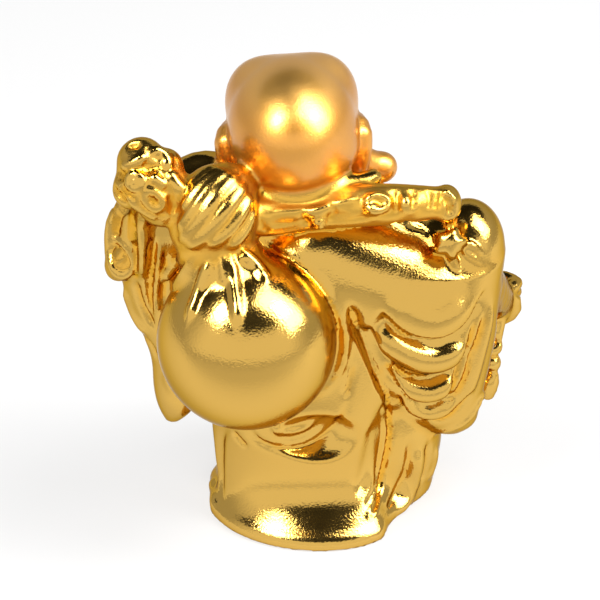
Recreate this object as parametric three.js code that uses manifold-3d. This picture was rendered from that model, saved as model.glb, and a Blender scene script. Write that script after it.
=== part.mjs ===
// A small cast figure of a standing travelling monk: bald head, open robe and bare belly, with a round
// cloth sack tied to a knotted staff across the shoulders. It is one casting with a flat underside.
// Millimetres. +Z is up, the figure faces -Y, and +X is the side of its left hand.
import * as THREE from 'three';
import { LoftGeometry } from 'three/addons/geometries/LoftGeometry.js';
import { mergeVertices } from 'three/addons/utils/BufferGeometryUtils.js';
import Module from 'manifold-3d';

const wasm = await Module();
wasm.setup();

const radians = THREE.MathUtils.degToRad;
const smooth = THREE.MathUtils.smoothstep;

// Driving sizes
const HEIGHT = 91; // from the ground to the crown of the head
const LIP_HEIGHT = 2.4; // the rim round the foot of the robe
const LIP_PROUD = 1;
const PANEL_PROUD = 1.4; // the back panel of the robe stands off the robe under it
const SACK_RADIUS = 16.4;
const SACK_NECK_RADIUS = 7.4;
const SACK_PLEATS = 9;
const STAFF_RADIUS = 3.8;
const KNOB_RADIUS = 5.4;
const TIE_RADIUS = 8;
const TIE_WRAPS = 9;
const TIE_TWIST = -1.1;
const SKULL_SIDE = 12;
const SKULL_DEPTH = 16.4;
const SKULL_HEIGHT = 11.5;
const JAW_SIDE = 11.8;
const JAW_DEPTH = 9.6;
const JAW_HEIGHT = 9.4;
const EAR_LENGTH = 11;
const EARLOBE_RADIUS = 2.9;
const BELLY_RADIUS = 17;
const SHOULDER_RADIUS = 11;
const BEAD_RADIUS = 2;
const FINGER_RADIUS = 1.35;
const SHOE_SIDE = 4.8;
const SHOE_LENGTH = 8.4;
const SHOE_HEIGHT = 4.4;

// The free form keeps its pose and its folds as shares of its height: a place, a set of sizes or a table
// of sections is written for the height it was drawn at, and grows with HEIGHT.
const DRAWN_HEIGHT = 91;
const GROWTH = HEIGHT / DRAWN_HEIGHT;
const vector = (x, y, z) => new THREE.Vector3(x, y, z);
const at = (x, y, z) => vector(x, y, z).multiplyScalar(GROWTH);
const drawn = (...numbers) => numbers.map((number) => number * GROWTH);
const drawnRows = (rows) => rows.map((row) => drawn(...row));

// Landmarks
const HEAD = at(3.8, -1, 0).setZ(HEIGHT - SKULL_HEIGHT);
const HEAD_TILT = 4; // degrees towards the figure's left
const SACK = at(12, 18, 43.7);
const SACK_MOUTH = at(17.4, 15, 61.5);
const TIE = at(17.6, 13.8, 68);
const BELLY = at(-1.5, -11, 33);
const RIGHT_HAND = at(-35.4, -11, 36.2);
const LEFT_HAND = at(30, 9, 70.6);
const BEADS = at(-34.9, -6.6, 28.8);
const SHOULDER_KNOT = at(-24.8, 10.6, 59.8);

// How finely each form is divided
const FACET = 5.5 * GROWTH;
const sidesOf = (radius) => Math.round(4 + (0.8 * radius) / GROWTH);
const stepsOf = (length, radius) => {
  const step = Math.min(FACET, 2.8 * GROWTH + radius);
  return Math.max(2, Math.round(length / step));
};

// A closed geometry as a solid whose faces point outwards
function solid(geometry) {
  const bare = new THREE.BufferGeometry().setAttribute('position', geometry.getAttribute('position'));
  bare.setIndex(geometry.index);
  const merged = mergeVertices(bare, 1e-4);
  const make = (triangles) => new wasm.Manifold(new wasm.Mesh({
    numProp: 3,
    vertProperties: merged.attributes.position.array,
    triVerts: triangles,
  }));
  const corners = new Uint32Array(merged.index.array);
  const made = make(corners);
  return made.volume() > 0 ? made : make(corners.reverse());
}

// An ellipsoid turned about X, Y and Z in degrees
function ball(centre, radii, turn = [0, 0, 0]) {
  const [x, y, z] = Array.isArray(radii) ? radii : [radii, radii, radii];
  const around = sidesOf(Math.max(x, y, z));
  const geometry = new THREE.SphereGeometry(1, around, Math.max(4, Math.round(around * 0.6)));
  geometry.rotateX(Math.PI / 2);
  geometry.scale(x, y, z);
  geometry.applyMatrix4(new THREE.Matrix4().makeRotationFromEuler(new THREE.Euler(...turn.map(radians))));
  return solid(geometry.translate(centre.x, centre.y, centre.z));
}

// A round-ended limb, cord or fold along a smooth path. A fluted one has that many ridges along it, which
// stand out by depth as a share of its radius and turn about the path by twist radians.
function limb(path, radii, { flutes = 0, depth = 0, twist = 0 } = {}) {
  const curve = new THREE.CatmullRomCurve3(path, false, 'centripetal');
  const sizes = new THREE.SplineCurve(radii.map((r, i) => new THREE.Vector2(i, r)));
  const steps = stepsOf(curve.getLength(), Math.max(...radii)) * (twist ? 2 : 1);
  const sides = flutes ? 2 * flutes : sidesOf(Math.max(...radii));
  const { tangents, normals, binormals } = curve.computeFrenetFrames(steps);
  const ring = (step, ahead, share) => {
    const radius = sizes.getPoint(step / steps).y;
    const centre = curve.getPointAt(step / steps).addScaledVector(tangents[step], ahead * radius);
    return Array.from({ length: sides }, (_, i) => {
      const angle = (2 * Math.PI * i) / sides + (twist * step) / steps;
      const r = radius * share * (1 + (i % 2 ? -depth : depth));
      return centre.clone()
        .addScaledVector(normals[step], r * Math.cos(angle))
        .addScaledVector(binormals[step], r * Math.sin(angle));
    });
  };
  const rings = [ring(0, -0.7, 0.6)];
  for (let step = 0; step <= steps; step++) rings.push(ring(step, 0, 1));
  rings.push(ring(steps, 0.7, 0.6));
  return solid(new LoftGeometry(rings, { capStart: true, capEnd: true }));
}

// A smooth value between rows of [key, value, value, ...], such as a body's sections by height
function between(rows) {
  const keys = rows.map((row) => row[0]);
  const values = rows.flatMap((row) => row.slice(1));
  const curve = new THREE.CubicInterpolant(keys, values, rows[0].length - 1);
  return (key) => Array.from(curve.evaluate(key));
}

// A body of upright sections. Each row is [height, centre x, centre y, side, back, front]; squareness
// below 1 gives the sections fuller corners, and lift(place, angle) moves a point outwards.
function column(rows, squareness = 1, lift = () => 0, start = []) {
  const section = between(rows);
  const low = start.length ? start[start.length - 1] : rows[0][0];
  const high = rows[rows.length - 1][0];
  const around = Math.round((2 * Math.PI * Math.max(...rows.map((row) => row[3]))) / FACET);
  const levels = stepsOf(high - low, FACET);
  const even = Array.from({ length: levels + 1 }, (_, i) => low + ((high - low) * i) / levels);
  const heights = [...start.slice(0, -1), ...even];
  const rings = heights.map((z) => {
    const [x, y, side, back, front] = section(z);
    return Array.from({ length: around }, (_, i) => {
      const angle = (2 * Math.PI * i) / around;
      const fuller = (share) => Math.sign(share) * Math.abs(share) ** squareness;
      const depth = Math.sin(angle) > 0 ? back : front;
      const out = vector(side * fuller(Math.cos(angle)), depth * fuller(Math.sin(angle)), 0);
      const place = vector(x, y, z).add(out);
      return place.addScaledVector(out.normalize(), lift(place, THREE.MathUtils.radToDeg(angle)));
    });
  });
  return solid(new LoftGeometry(rings, { capStart: true, capEnd: true }));
}

// A fold drawn by its [x, z] points on the back of a body of upright sections
function backFold(rows, points, radii, proud = 0) {
  const section = between(rows);
  const path = drawnRows(points).map(([x, z]) => {
    const [centreX, centreY, side, back] = section(z);
    const across = Math.min(0.97, Math.abs(x - centreX) / side);
    return vector(x, centreY + back * Math.sqrt(1 - across * across) + proud * GROWTH, z);
  });
  return limb(path, drawn(...radii));
}

// The robe from the foot to the shoulders
const ROBE = drawnRows([
  [0, -3, -1, 22, 20.6, 20.6],
  [2.4, -3, -1, 21.9, 20, 20.4],
  [5, -2.8, -1, 21.2, 18, 20],
  [8, -2.4, -1, 20.8, 15.7, 19.3],
  [13, -2.1, -1, 21, 14.4, 19],
  [24, -1.5, -1, 21, 15.4, 19],
  [36, -1, -1, 22, 15, 18.5],
  [48, 0, 0, 23, 14.8, 15],
  [57, 1, 0, 22, 11.4, 12],
  [63, 2, 0, 17, 8, 9.5],
  [68, 3, 0, 10, 7.2, 8],
  [71, 3.4, -0.3, 7.5, 7, 7],
]);
const VALLEY_ANGLE = 148; // where the back panel ends and the robe under it shows
const VALLEY_DEPTH = 4.8;
const VALLEY_WIDTH = 34;
const FLUTES = 9; // upright folds round the skirt
const FLUTE_DEPTH = 0.9;

function robe() {
  const lift = (place, angle) => {
    const low = 1 - smooth(place.z, ...drawn(19, 30));
    const panel = smooth(angle, 10, 25) * (1 - smooth(angle, 115, 128));
    const valley = Math.exp(-(((angle - VALLEY_ANGLE) / VALLEY_WIDTH) ** 2));
    const front = smooth(angle, 175, 200) * (1 - smooth(angle, 340, 360));
    const skirt = front * (1 - smooth(place.z, ...drawn(14, 21)));
    const rimmed = 1 - smooth(angle, 118, 134) * (1 - smooth(angle, 330, 350));
    const lip = place.z <= LIP_HEIGHT ? LIP_PROUD * rimmed : 0;
    const flutes = FLUTE_DEPTH * Math.cos(radians(angle * FLUTES)) * skirt;
    return low * (PANEL_PROUD * panel - VALLEY_DEPTH * valley) + flutes + lip;
  };
  return [
    column(ROBE, 0.96, lift, [0, LIP_HEIGHT, ...drawn(3.1, 5.4, 8.4)]),
    // a swag of the panel under the sack
    backFold(ROBE, [[16, 23], [12, 18.5], [4.2, 15.4], [-2.4, 17], [-7, 23]], [1, 1.8, 2.2, 1.8, 1], 0.4),
    // the free edge of the panel
    backFold(ROBE, [[-13.4, 28], [-13.8, 20], [-13, 12], [-12.4, 3]], [1.1, 1.7, 1.7, 1.5], -0.4),
    // the rim of cloth that the sack lies against
    backFold(ROBE,
      [[13, 61], [6.5, 61], [-0.2, 56], [-4, 49], [-6, 42], [-6.2, 35], [-3.4, 28.4], [2.5, 23]],
      [1.4, 1.8, 2, 2, 2, 2, 1.8, 1.3], -0.3),
    // the collar behind the neck
    limb([at(-11, 4, 69.8), at(-5, 8.6, 69.6), at(3, 10.2, 68.8), at(12, 9.4, 68.4)], drawn(1.6, 2, 2, 1.8)),
  ];
}

// The robe over the right leg, beside the back panel
function rightLeg() {
  return [
    ball(at(-15, -4, 12), drawn(10.4, 11.4, 16)),
    limb([at(-20.6, 6.4, 17), at(-21.4, 5, 9), at(-19.6, 6, 2)], drawn(1.6, 2.2, 1.6)),
    limb([at(-24.4, -2, 17), at(-24.6, -3, 9), at(-22.8, -4, 2)], drawn(1.8, 2, 1.6)),
  ];
}

// The sack: a round bag gathered in pleats at its neck
function sack() {
  const up = (share) => SACK.clone().lerp(SACK_MOUTH, share);
  const n = SACK_NECK_RADIUS;
  return [
    ball(SACK, SACK_RADIUS),
    limb([up(0.6), up(0.78), up(0.9), up(1.02)], [n * 1.25, n * 1.05, n * 0.92, n * 0.86],
      { flutes: SACK_PLEATS, depth: 0.08 }),
  ];
}

// The staff: a crooked branch with burls, thick and knotted at its left end
function staff() {
  const r = STAFF_RADIUS;
  const path = [
    at(-21.6, 9.2, 67.2), at(-15.8, 9.8, 67.3), at(-5, 10.2, 66.9), at(2.3, 10.4, 66), at(9, 11.2, 65.6),
    at(15, 12.4, 67), at(21, 13.6, 69.2), at(27, 14, 72),
  ];
  const burls = [[-17, 12.4, 68.4, 0.45], [-10.8, 13.2, 68.2, 0.47], [-1, 13.6, 66, 0.47]];
  return [
    limb(path, [r * 0.8, r * 0.95, r, r * 0.92, r, r, r * 1.1, r * 1.25]),
    ...burls.map(([x, y, z, share]) => ball(at(x, y, z), share * r)),
    // the knot at its right end
    ball(at(-24.2, 8.8, 66.8), [r * 0.74, r * 0.9, r * 0.95]),
  ];
}

function knob() {
  const k = KNOB_RADIUS;
  const lumps = [
    [26.6, 13.6, 70.4, 0.96, 1], [29.8, 13.6, 73.6, 0.98, 1.02], [30.6, 12.4, 77, 0.82, 0.78],
    [32.3, 15, 72.6, 0.62, 0.66], [26.2, 12.4, 75.8, 0.6, 0.66],
  ];
  return lumps.map(([x, y, z, wide, tall], i) => (
    ball(at(x, y, z), [wide * k, wide * k, tall * k], [0, 20 * (i % 3), 40 * i])
  ));
}

// The cloth that ties the sack to the staff, wound round it in slanting wraps
function tie() {
  const t = TIE_RADIUS;
  const path = [SACK_MOUTH, TIE, TIE.clone().add(vector(-0.25, -0.2, 0.3).multiplyScalar(t))];
  return [limb(path, [t * 0.82, t, t * 0.74], { flutes: TIE_WRAPS, depth: 0.07, twist: TIE_TWIST })];
}

// The skull, the neck, long ears and a calm, simple face
function head() {
  const tilt = vector(0, 1, 0);
  const local = (x, y, z) => vector(x, y, z).applyAxisAngle(tilt, radians(HEAD_TILT)).add(HEAD);
  const turn = [0, HEAD_TILT, 0];
  const w = SKULL_SIDE;
  const d = SKULL_DEPTH;
  const h = SKULL_HEIGHT;
  const e = EAR_LENGTH;
  const jaw = [0, -d * 0.42, -h * 0.62];
  const onJaw = (x, y, z) => local(jaw[0] + x * JAW_SIDE, jaw[1] + y * JAW_DEPTH, jaw[2] + z * JAW_HEIGHT);
  const forms = [
    ball(HEAD, [w, d, h], turn),
    ball(local(0, d * 0.1, -h * 0.42), [w * 0.97, d * 0.74, h * 0.62], turn),
    ball(onJaw(0, 0, 0), [JAW_SIDE, JAW_DEPTH, JAW_HEIGHT], turn),
    limb([at(3.2, 0, 60), at(3.4, 0, 66), at(3.6, -0.6, 71)], [w * 0.77, w * 0.71, w * 0.7]),
    // the nose and the chin
    limb([onJaw(0, -0.84, 0.62), onJaw(0, -1.1, 0.2)], [w * 0.085, w * 0.135]),
    ball(onJaw(0, -0.72, -0.62), [w * 0.28, w * 0.19, w * 0.19], turn),
  ];
  for (const side of [-1, 1]) {
    forms.push(
      // a lobe of the brow, a cheek and an eyebrow
      ball(local(side * w * 0.47, -d * 0.43, h * 0.12), [w * 0.53, d * 0.46, h * 0.62], turn),
      ball(onJaw(side * 0.5, -0.62, 0.08), [w * 0.36, w * 0.32, w * 0.3], turn),
      limb([onJaw(side * 0.16, -0.93, 0.72), onJaw(side * 0.42, -0.86, 0.8), onJaw(side * 0.68, -0.66, 0.68)],
        [w * 0.055, w * 0.08, w * 0.05]),
      // an ear: its rim, its bowl and its heavy lobe
      limb([
        local(side * w * 0.93, e * 0.05, -e * 0.91),
        local(side * w * 1, e * 0.09, -e * 0.61),
        local(side * w * 1.02, e * 0.05, -e * 0.32),
        local(side * w * 0.97, -e * 0.27, -e * 0.26),
      ], [e * 0.2, e * 0.2, e * 0.19, e * 0.165]),
      limb([local(side * w * 0.9, -e * 0.24, -e * 0.96), local(side * w * 1.28, -e * 0.42, -e * 1.2)],
        [e * 0.31, EARLOBE_RADIUS * 0.9]),
      ball(local(side * w * 1.32, -e * 0.42, -e * 1.2), EARLOBE_RADIUS, turn),
    );
  }
  return forms;
}

// The right sleeve hangs from the shoulder in three swags, one below the other.
const SLEEVE = drawnRows([
  [15, -26.2, 1.6, 2.6, 2, 3],
  [17, -26.2, 1.6, 4.8, 4, 6],
  [20, -25, 2, 7, 5.4, 8],
  [24, -24, 2.2, 8.6, 6.4, 9.4],
  [30, -23, 2.4, 10.6, 7.2, 10.6],
  [37, -22.4, 2.6, 12.2, 8, 11.6],
  [44, -21.4, 2.6, 13.4, 8.8, 12],
  [52, -20, 2.4, 14, 9, 11],
]);

function rightArm() {
  const s = SHOULDER_RADIUS;
  return [
    // the shoulder slopes down to the arm
    limb([at(-1.2, 3.6, 53.8), at(-12, 4.6, 48.8), at(-21.2, 4.8, 44.4)], [s, s, s * 0.94]),
    limb([at(-3.6, -0.8, 56.6), at(-13, 0.4, 51.8), at(-23, 1.2, 46.6)], [s, s, s * 0.98]),
    ball(at(-29, 0.2, 54), drawn(6.9, 8.4, 9)),
    ball(at(-20.5, 2, 42), drawn(13.5, 12.2, 14.9)),
    ball(at(-21.5, 2, 34.5), drawn(12, 10.8, 12.9)),
    column(SLEEVE, 0.8),
    // swags, one below the other
    limb([
      at(-13, 13.2, 44.9), at(-16.1, 12.7, 41), at(-20.4, 12.8, 38.5), at(-24, 12.7, 38.7), at(-26.9, 11.6, 41.2),
    ], drawn(1, 2.6, 3.2, 2.6, 1)),
    limb([
      at(-14.1, 10.3, 35.3), at(-16.6, 10, 31.9), at(-20.1, 10.2, 29.8), at(-23.2, 10.3, 30.1), at(-25.6, 10, 32.5),
    ], drawn(1, 2.2, 2.8, 2.2, 1)),
    // the forearm
    limb([at(-29, 0, 46), at(-33, -5, 41), at(-35, -9, 38)], drawn(7, 5, 4)),
  ];
}

// Pleats that run out from the knot on the right shoulder
function shoulderKnot() {
  const rays = [[-6.4, 20], [-4.4, -28], [6.6, 94], [4, -20], [3.6, 44], [-6, 84]];
  return rays.map(([reach, slope]) => {
    const half = reach * 0.55;
    const middle = at(half * Math.cos(radians(slope)), -0.55, half * Math.sin(radians(slope)));
    return ball(middle.add(SHOULDER_KNOT), drawn(Math.abs(reach) * 0.62, 1.8, 1.5), [0, -slope, 0]);
  });
}

// A loose fist: a palm and four fingers stacked along one axis, curling towards another
function hand(palm, along, curl, side) {
  const f = FINGER_RADIUS;
  const out = vector(0, 0, 0).crossVectors(along, curl).normalize().multiplyScalar(side);
  const forms = [ball(palm, f * 3.1)];
  for (let i = 0; i < 4; i++) {
    const base = palm.clone().addScaledVector(along, (i - 1.5) * f * 1.75);
    forms.push(limb([
      base.clone().addScaledVector(out, f * 1.8),
      base.clone().addScaledVector(out, f * 3.2).addScaledVector(curl, f * 1.9),
      base.clone().addScaledVector(out, f * 1.5).addScaledVector(curl, f * 3.7),
    ], [f, f, f]));
  }
  return forms;
}

// The right hand holds a short string: two beads and a tassel that lie against the sleeve.
function rightHand() {
  const b = BEAD_RADIUS;
  const string = vector(0.06, 0.12, -1).normalize();
  const down = (share) => BEADS.clone().addScaledVector(string, share * b);
  return [
    ...hand(RIGHT_HAND, vector(0, 0.35, 0.94).normalize(), vector(0, -1, 0), -1),
    limb([at(-36.4, -8, 39), at(-38.6, -9.4, 37.6), at(-38.8, -10.4, 34.4), at(-37, -11, 32.6)],
      drawn(1.4, 1.5, 1.5, 1.4)),
    limb([at(-36, -8.4, 34), BEADS], drawn(1.6, 1.6)),
    ball(BEADS, b),
    ball(down(1.7), b),
    limb([down(2.6), down(3.7), down(4.9)], [b * 0.75, b, b * 0.7]),
  ];
}

// The left arm is raised to the staff; its wide sleeve hangs to a point beside the sack.
const LEFT_SLEEVE = drawnRows([
  [17, 26.8, 1, 1.4, 1.4, 1.4],
  [19, 26.2, 0.6, 3, 3.4, 3.4],
  [24, 26, 0, 4.4, 5, 6],
  [31, 26, -0.6, 5, 5.8, 8],
  [38, 26.6, -1, 6.8, 6.6, 9.6],
  [46, 27.6, -1, 8.2, 7, 10],
  [54, 29.4, -0.4, 7.6, 7.4, 9],
  [60, 29.8, 0.6, 6.2, 7.4, 7.6],
  [65, 29.4, 2, 5, 6, 6],
]);

function leftArm() {
  return [
    column(LEFT_SLEEVE),
    limb([at(12, 1, 60), at(20, 1, 62), at(27, 0, 58)], drawn(9, 8.6, 8)),
    limb([at(14, -1, 68), at(20.6, -2, 68.4), at(26, 0, 66)], drawn(3.4, 3.6, 3.6)),
    // the rolled edge and the end of the cuff
    limb([at(34.4, 2, 64.4), at(36.6, 2, 59.6), at(37, 2.4, 54)], drawn(1.3, 1.6, 1.6)),
    ball(at(35, 3, 52.6), drawn(3.3, 3.4, 4.6), [0, -30, 0]),
    // an upright fold in the sleeve
    limb([at(30.6, 6.4, 63), at(30.6, 7.6, 54), at(29.6, 7, 44)], drawn(1, 1.8, 1)),
    // the forearm
    limb([at(28.6, 1, 58), at(29.6, 5, 66), at(30, 8, 70)], drawn(5, 4.4, 4)),
    ...hand(LEFT_HAND, vector(0.85, 0, 0.5).normalize(), vector(-0.3, 0.3, 0.9).normalize(), 1),
  ];
}

// The bare chest and belly between the open edges of the robe, with a sash below
function front() {
  const b = BELLY_RADIUS;
  const forms = [ball(BELLY, [b * 1.06, b * 0.86, b * 0.94])];
  for (const side of [-1, 1]) {
    forms.push(
      ball(at(2 + side * 6.6, -7, 53), drawn(7.6, 6, 6)),
      limb([
        at(3 + side * 6, -3.5, 67), at(2 + side * 12.5, -9.6, 58), at(side * 19 - 1, -13, 46),
        at(side * 20.4 - 1.5, -15, 34), at(side * 15 - 1.5, -21, 21),
      ], drawn(2, 2.6, 3, 2.8, 2)),
      limb([at(-1.5, -23.4, 16.5), at(-1.5 + side * 3, -21.6, 11), at(-1.5 + side * 2.8, -21.2, 5)],
        drawn(1.4, 2, 1.8)),
    );
  }
  forms.push(
    limb([
      at(-21, -10, 21.5), at(-13, -20.5, 19), at(-1.5, -23.4, 17.4), at(10, -20.5, 19), at(18.5, -10, 21.5),
    ], drawn(2.2, 2.6, 2.6, 2.6, 2.2)),
    ball(at(-1.5, -24.6, 17.6), drawn(3, 2.2, 2.4)),
  );
  return forms;
}

// Two cloth shoes that show under the front of the robe
function feet() {
  return [-10, 6].map((x) => ball(at(x, -22, 1.4), [SHOE_SIDE, SHOE_LENGTH, SHOE_HEIGHT]));
}

// One casting: every form joined, solid inside and cut flat at the ground
function casting() {
  const joined = wasm.Manifold.union([
    ...robe(), ...rightLeg(), ...sack(), ...staff(), ...knob(), ...tie(), ...head(), ...rightArm(),
    ...shoulderKnot(), ...rightHand(), ...leftArm(), ...front(), ...feet(),
  ]);
  const span = 2 * HEIGHT;
  const ground = solid(new THREE.BoxGeometry(span, span, span).translate(0, 0, -span / 2));
  const shells = joined.subtract(ground).decompose();
  return shells.reduce((largest, shell) => (shell.volume() > largest.volume() ? shell : largest));
}

function geometryOf(made) {
  const { vertProperties, triVerts } = made.getMesh();
  const geometry = new THREE.BufferGeometry();
  geometry.setAttribute('position', new THREE.BufferAttribute(vertProperties, 3));
  geometry.setIndex(new THREE.BufferAttribute(triVerts, 1));
  geometry.computeVertexNormals();
  return geometry;
}

const gold = new THREE.MeshStandardMaterial({
  name: 'gold', color: 0xd9a531, roughness: 0.22, metalness: 1,
});
const geometry = geometryOf(casting());
geometry.computeBoundingBox();
const middle = geometry.boundingBox.getCenter(vector(0, 0, 0));
geometry.translate(-middle.x, -middle.y, -geometry.boundingBox.min.z);

const figure = new THREE.Mesh(geometry, gold);
figure.name = 'figure';

const part = new THREE.Group();
part.add(figure);
export default part;
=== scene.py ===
import math
import bpy
import bmesh
import numpy as np
from mathutils import Matrix, Vector
from mathutils.bvhtree import BVHTree


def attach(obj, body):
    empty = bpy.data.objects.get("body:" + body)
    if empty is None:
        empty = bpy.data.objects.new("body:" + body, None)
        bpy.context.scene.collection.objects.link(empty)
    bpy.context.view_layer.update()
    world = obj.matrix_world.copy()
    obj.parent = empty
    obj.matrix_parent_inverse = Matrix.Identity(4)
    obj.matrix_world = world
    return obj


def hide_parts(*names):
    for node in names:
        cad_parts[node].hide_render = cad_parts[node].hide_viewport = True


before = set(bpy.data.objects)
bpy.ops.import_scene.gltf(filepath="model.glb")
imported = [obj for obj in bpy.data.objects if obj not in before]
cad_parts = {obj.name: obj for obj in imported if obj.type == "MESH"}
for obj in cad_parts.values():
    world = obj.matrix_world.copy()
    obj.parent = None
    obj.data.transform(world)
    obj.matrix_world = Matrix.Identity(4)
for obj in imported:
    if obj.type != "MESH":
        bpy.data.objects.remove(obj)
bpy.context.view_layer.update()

# The camera stands behind the figure and 28 degrees above it, with a long lens, as the photograph was
# taken. Places below are in millimetres, with +X to the figure's left, +Y to its back and +Z up, and
# CASTING_CENTRE is the middle of the casting's box in them.
MM = 0.001
CASTING_CENTRE = np.array([-1.219, 2.112, 0.0])
CAMERA_AIM = np.array([2.3, 0.0, 42.4])
CAMERA_DISTANCE = 480.0
CAMERA_RISE = math.radians(28)
PICTURE_SIDE = 600
FOCAL_PIXELS = 2544.0
SENSOR = 36.0
CLIP_START = 0.01
camera_back = np.array([0, math.cos(CAMERA_RISE), math.sin(CAMERA_RISE)])
camera_right = np.array([-1.0, 0, 0])
camera_up = np.array([0, -math.sin(CAMERA_RISE), math.cos(CAMERA_RISE)])
camera_eye = CAMERA_AIM + CAMERA_DISTANCE * camera_back


def metres(place):
    return (np.asarray(place, float) - CASTING_CENTRE) * MM


camera = bpy.data.objects.new("camera", bpy.data.cameras.new("camera"))
camera.data.sensor_width = SENSOR
camera.data.lens = SENSOR * FOCAL_PIXELS / PICTURE_SIDE
camera.data.clip_start = CLIP_START
camera.matrix_world = Matrix.Translation(metres(camera_eye)) @ Matrix(
    np.stack([camera_right, camera_up, camera_back], axis=1)).to_4x4()
bpy.context.scene.collection.objects.link(camera)
bpy.context.scene.camera = camera
bpy.context.scene.view_settings.view_transform = "Standard"


# The robe, from the foot to the shoulders: one long gown of cloth. The figure is a single casting, plated
# all over, so each part below is laid on, cut or folded in the same wax, and the skin of the casting is
# drawn over all of it at the end.
def smooth(low, high, value):
    share = np.clip((value - low) / (high - low), 0, 1)
    return share * share * (3 - 2 * share)


def spline(knots, values):
    """A natural cubic through rows of values."""
    knots, values = np.asarray(knots, float), np.asarray(values, float)
    gap, last = np.diff(knots), len(knots) - 1
    system, right = np.eye(last + 1), np.zeros_like(values)
    for i in range(1, last):
        system[i, i - 1:i + 2] = gap[i - 1], 2 * (gap[i - 1] + gap[i]), gap[i]
        right[i] = 6 * ((values[i + 1] - values[i]) / gap[i] - (values[i] - values[i - 1]) / gap[i - 1])
    bend = np.linalg.solve(system, right)

    def at(key):
        key = np.clip(key, knots[0], knots[-1])
        i = np.clip(np.searchsorted(knots, key) - 1, 0, last - 1)
        back = ((knots[i + 1] - key) / gap[i])[:, None]
        on = 1 - back
        swing = ((back ** 3 - back) * bend[i] + (on ** 3 - on) * bend[i + 1]) * (gap[i] ** 2 / 6)[:, None]
        return back * values[i] + on * values[i + 1] + swing
    return at


def along(points, count):
    """Evenly spaced places on a smooth path through points; further columns are carried along."""
    points = np.asarray(points, float)
    steps = np.linalg.norm(np.diff(points[:, :3], axis=0), axis=1)
    reach = np.concatenate([[0], np.cumsum(np.maximum(steps, 1e-3))])
    return spline(reach, points)(np.linspace(0, reach[-1], count))


class Cord:
    """A round-ended cord along a smooth path."""
    SPACING = 1.6

    def __init__(self, path, radii):
        path = np.asarray(path, float)
        radii = np.ones(len(path)) * radii
        length = np.linalg.norm(np.diff(path, axis=0), axis=1).sum()
        run = along(np.column_stack([path, radii]), max(5, round(length / self.SPACING)))
        self.places, self.radii = run[:, :3], run[:, 3]
        self.wide = self.radii.max() + self.SPACING
        self.low, self.high = self.places.min(0) - self.wide, self.places.max(0) + self.wide

    def depth(self, points):
        start, step = self.places[:-1], np.diff(self.places, axis=0)
        offset = points[:, None] - start
        share = np.clip((offset * step).sum(2) / ((step ** 2).sum(1) + 1e-9), 0, 1)
        gap = np.linalg.norm(offset - share[..., None] * step, axis=2)
        gap -= self.radii[:-1] + share * np.diff(self.radii)
        return gap.min(1)


class Body:
    """Upright sections. A row is height, centre x, centre y, side, back, front; full rounds the corners."""
    ROOM = 3

    def __init__(self, rows, full=1.0, lift=None):
        rows = np.asarray(rows, float)
        self.section, self.power, self.lift = spline(rows[:, 0], rows[:, 1:]), 2 / full, lift
        wide = rows[:, 3:].max() + self.ROOM
        self.low = np.append(rows[:, 1:3].min(0) - wide, rows[0, 0])
        self.high = np.append(rows[:, 1:3].max(0) + wide, rows[-1, 0])

    def depth(self, points):
        x, y, side, back, front = self.section(points[:, 2]).T
        across, deep = points[:, 0] - x, points[:, 1] - y
        reach = np.where(deep > 0, back, front)
        share = np.abs(across / side) ** self.power + np.abs(deep / reach) ** self.power
        share = share ** (1 / self.power)
        out = np.hypot(across, deep)
        depth = out * (1 - 1 / np.maximum(share, 0.05))
        if self.lift:
            angle = np.degrees(np.arctan2(deep / reach, across / side)) % 360
            depth -= self.lift(points, angle)
        return np.maximum(depth, np.maximum(points[:, 2] - self.high[2], self.low[2] - points[:, 2]))


class Wax:
    """Signed depth, in millimetres, under forms that are laid on or cut out in turn."""
    FAR = 30.0
    REACH = 2.5

    def __init__(self):
        self.steps = []

    def lay(self, form, soft=0.8):
        self.steps.append((form, soft, 1))

    def cut(self, form, soft=0.6):
        self.steps.append((form, soft, -1))

    def fold(self, path, width, proud, sharp=0.0, ends=0.2):
        self.steps.append((Fold(path, width, proud, sharp, ends), 0, 0))

    def crease(self, path, width, deep, sharp=0.7, ends=0.2):
        self.fold(path, width, -deep, sharp, ends)

    def roll(self, path, radius, sunk, soft=0.6, ends=0.25):
        self.steps.append((Roll(path, radius, sunk, ends), soft, 1))

    def groove(self, path, radius, sunk, soft=0.6, ends=0.25):
        self.steps.append((Roll(path, radius, sunk, ends), soft, -1))

    def draw_on(self, skin):
        for form, *_ in self.steps:
            if hasattr(form, "follow"):
                form.follow(skin)

    def sense(self, points):
        """Which points each form can reach."""
        reached = []
        for form, soft, _ in self.steps:
            near = []
            if hasattr(form, "low"):
                room = soft + self.REACH
                near = np.all((points > form.low - room) & (points < form.high + room), axis=1).nonzero()[0]
                if hasattr(form, "places") and len(near):
                    room += form.wide
                    gaps = [np.linalg.norm(points[near] - place, axis=1) for place in form.places]
                    near = near[np.min(gaps, axis=0) < room]
            reached.append(near)
        return reached

    def depth(self, points, reached):
        depth = np.full(len(points), self.FAR)
        for (form, soft, way), near in zip(self.steps, reached):
            if len(near) and way:
                mine, other = depth[near], way * form.depth(points[near])
                share = np.clip(0.5 + 0.5 * way * (mine - other) / soft, 0, 1)
                depth[near] = mine + (other - mine) * share - way * soft * share * (1 - share)
            elif len(near):
                depth[near] -= form.lift(points[near])
        return np.maximum(depth, -points[:, 2])

    def slope(self, points, reached, step=0.12):
        """Depth and its slope, from four places round each point."""
        corners = np.array([[1, -1, -1], [-1, -1, 1], [-1, 1, -1], [1, 1, 1]], float)
        depths = [self.depth(points + step * corner, reached) for corner in corners]
        slope = sum(depth[:, None] * corner for depth, corner in zip(depths, corners)) / (4 * step)
        return sum(depths) / 4, slope


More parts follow.
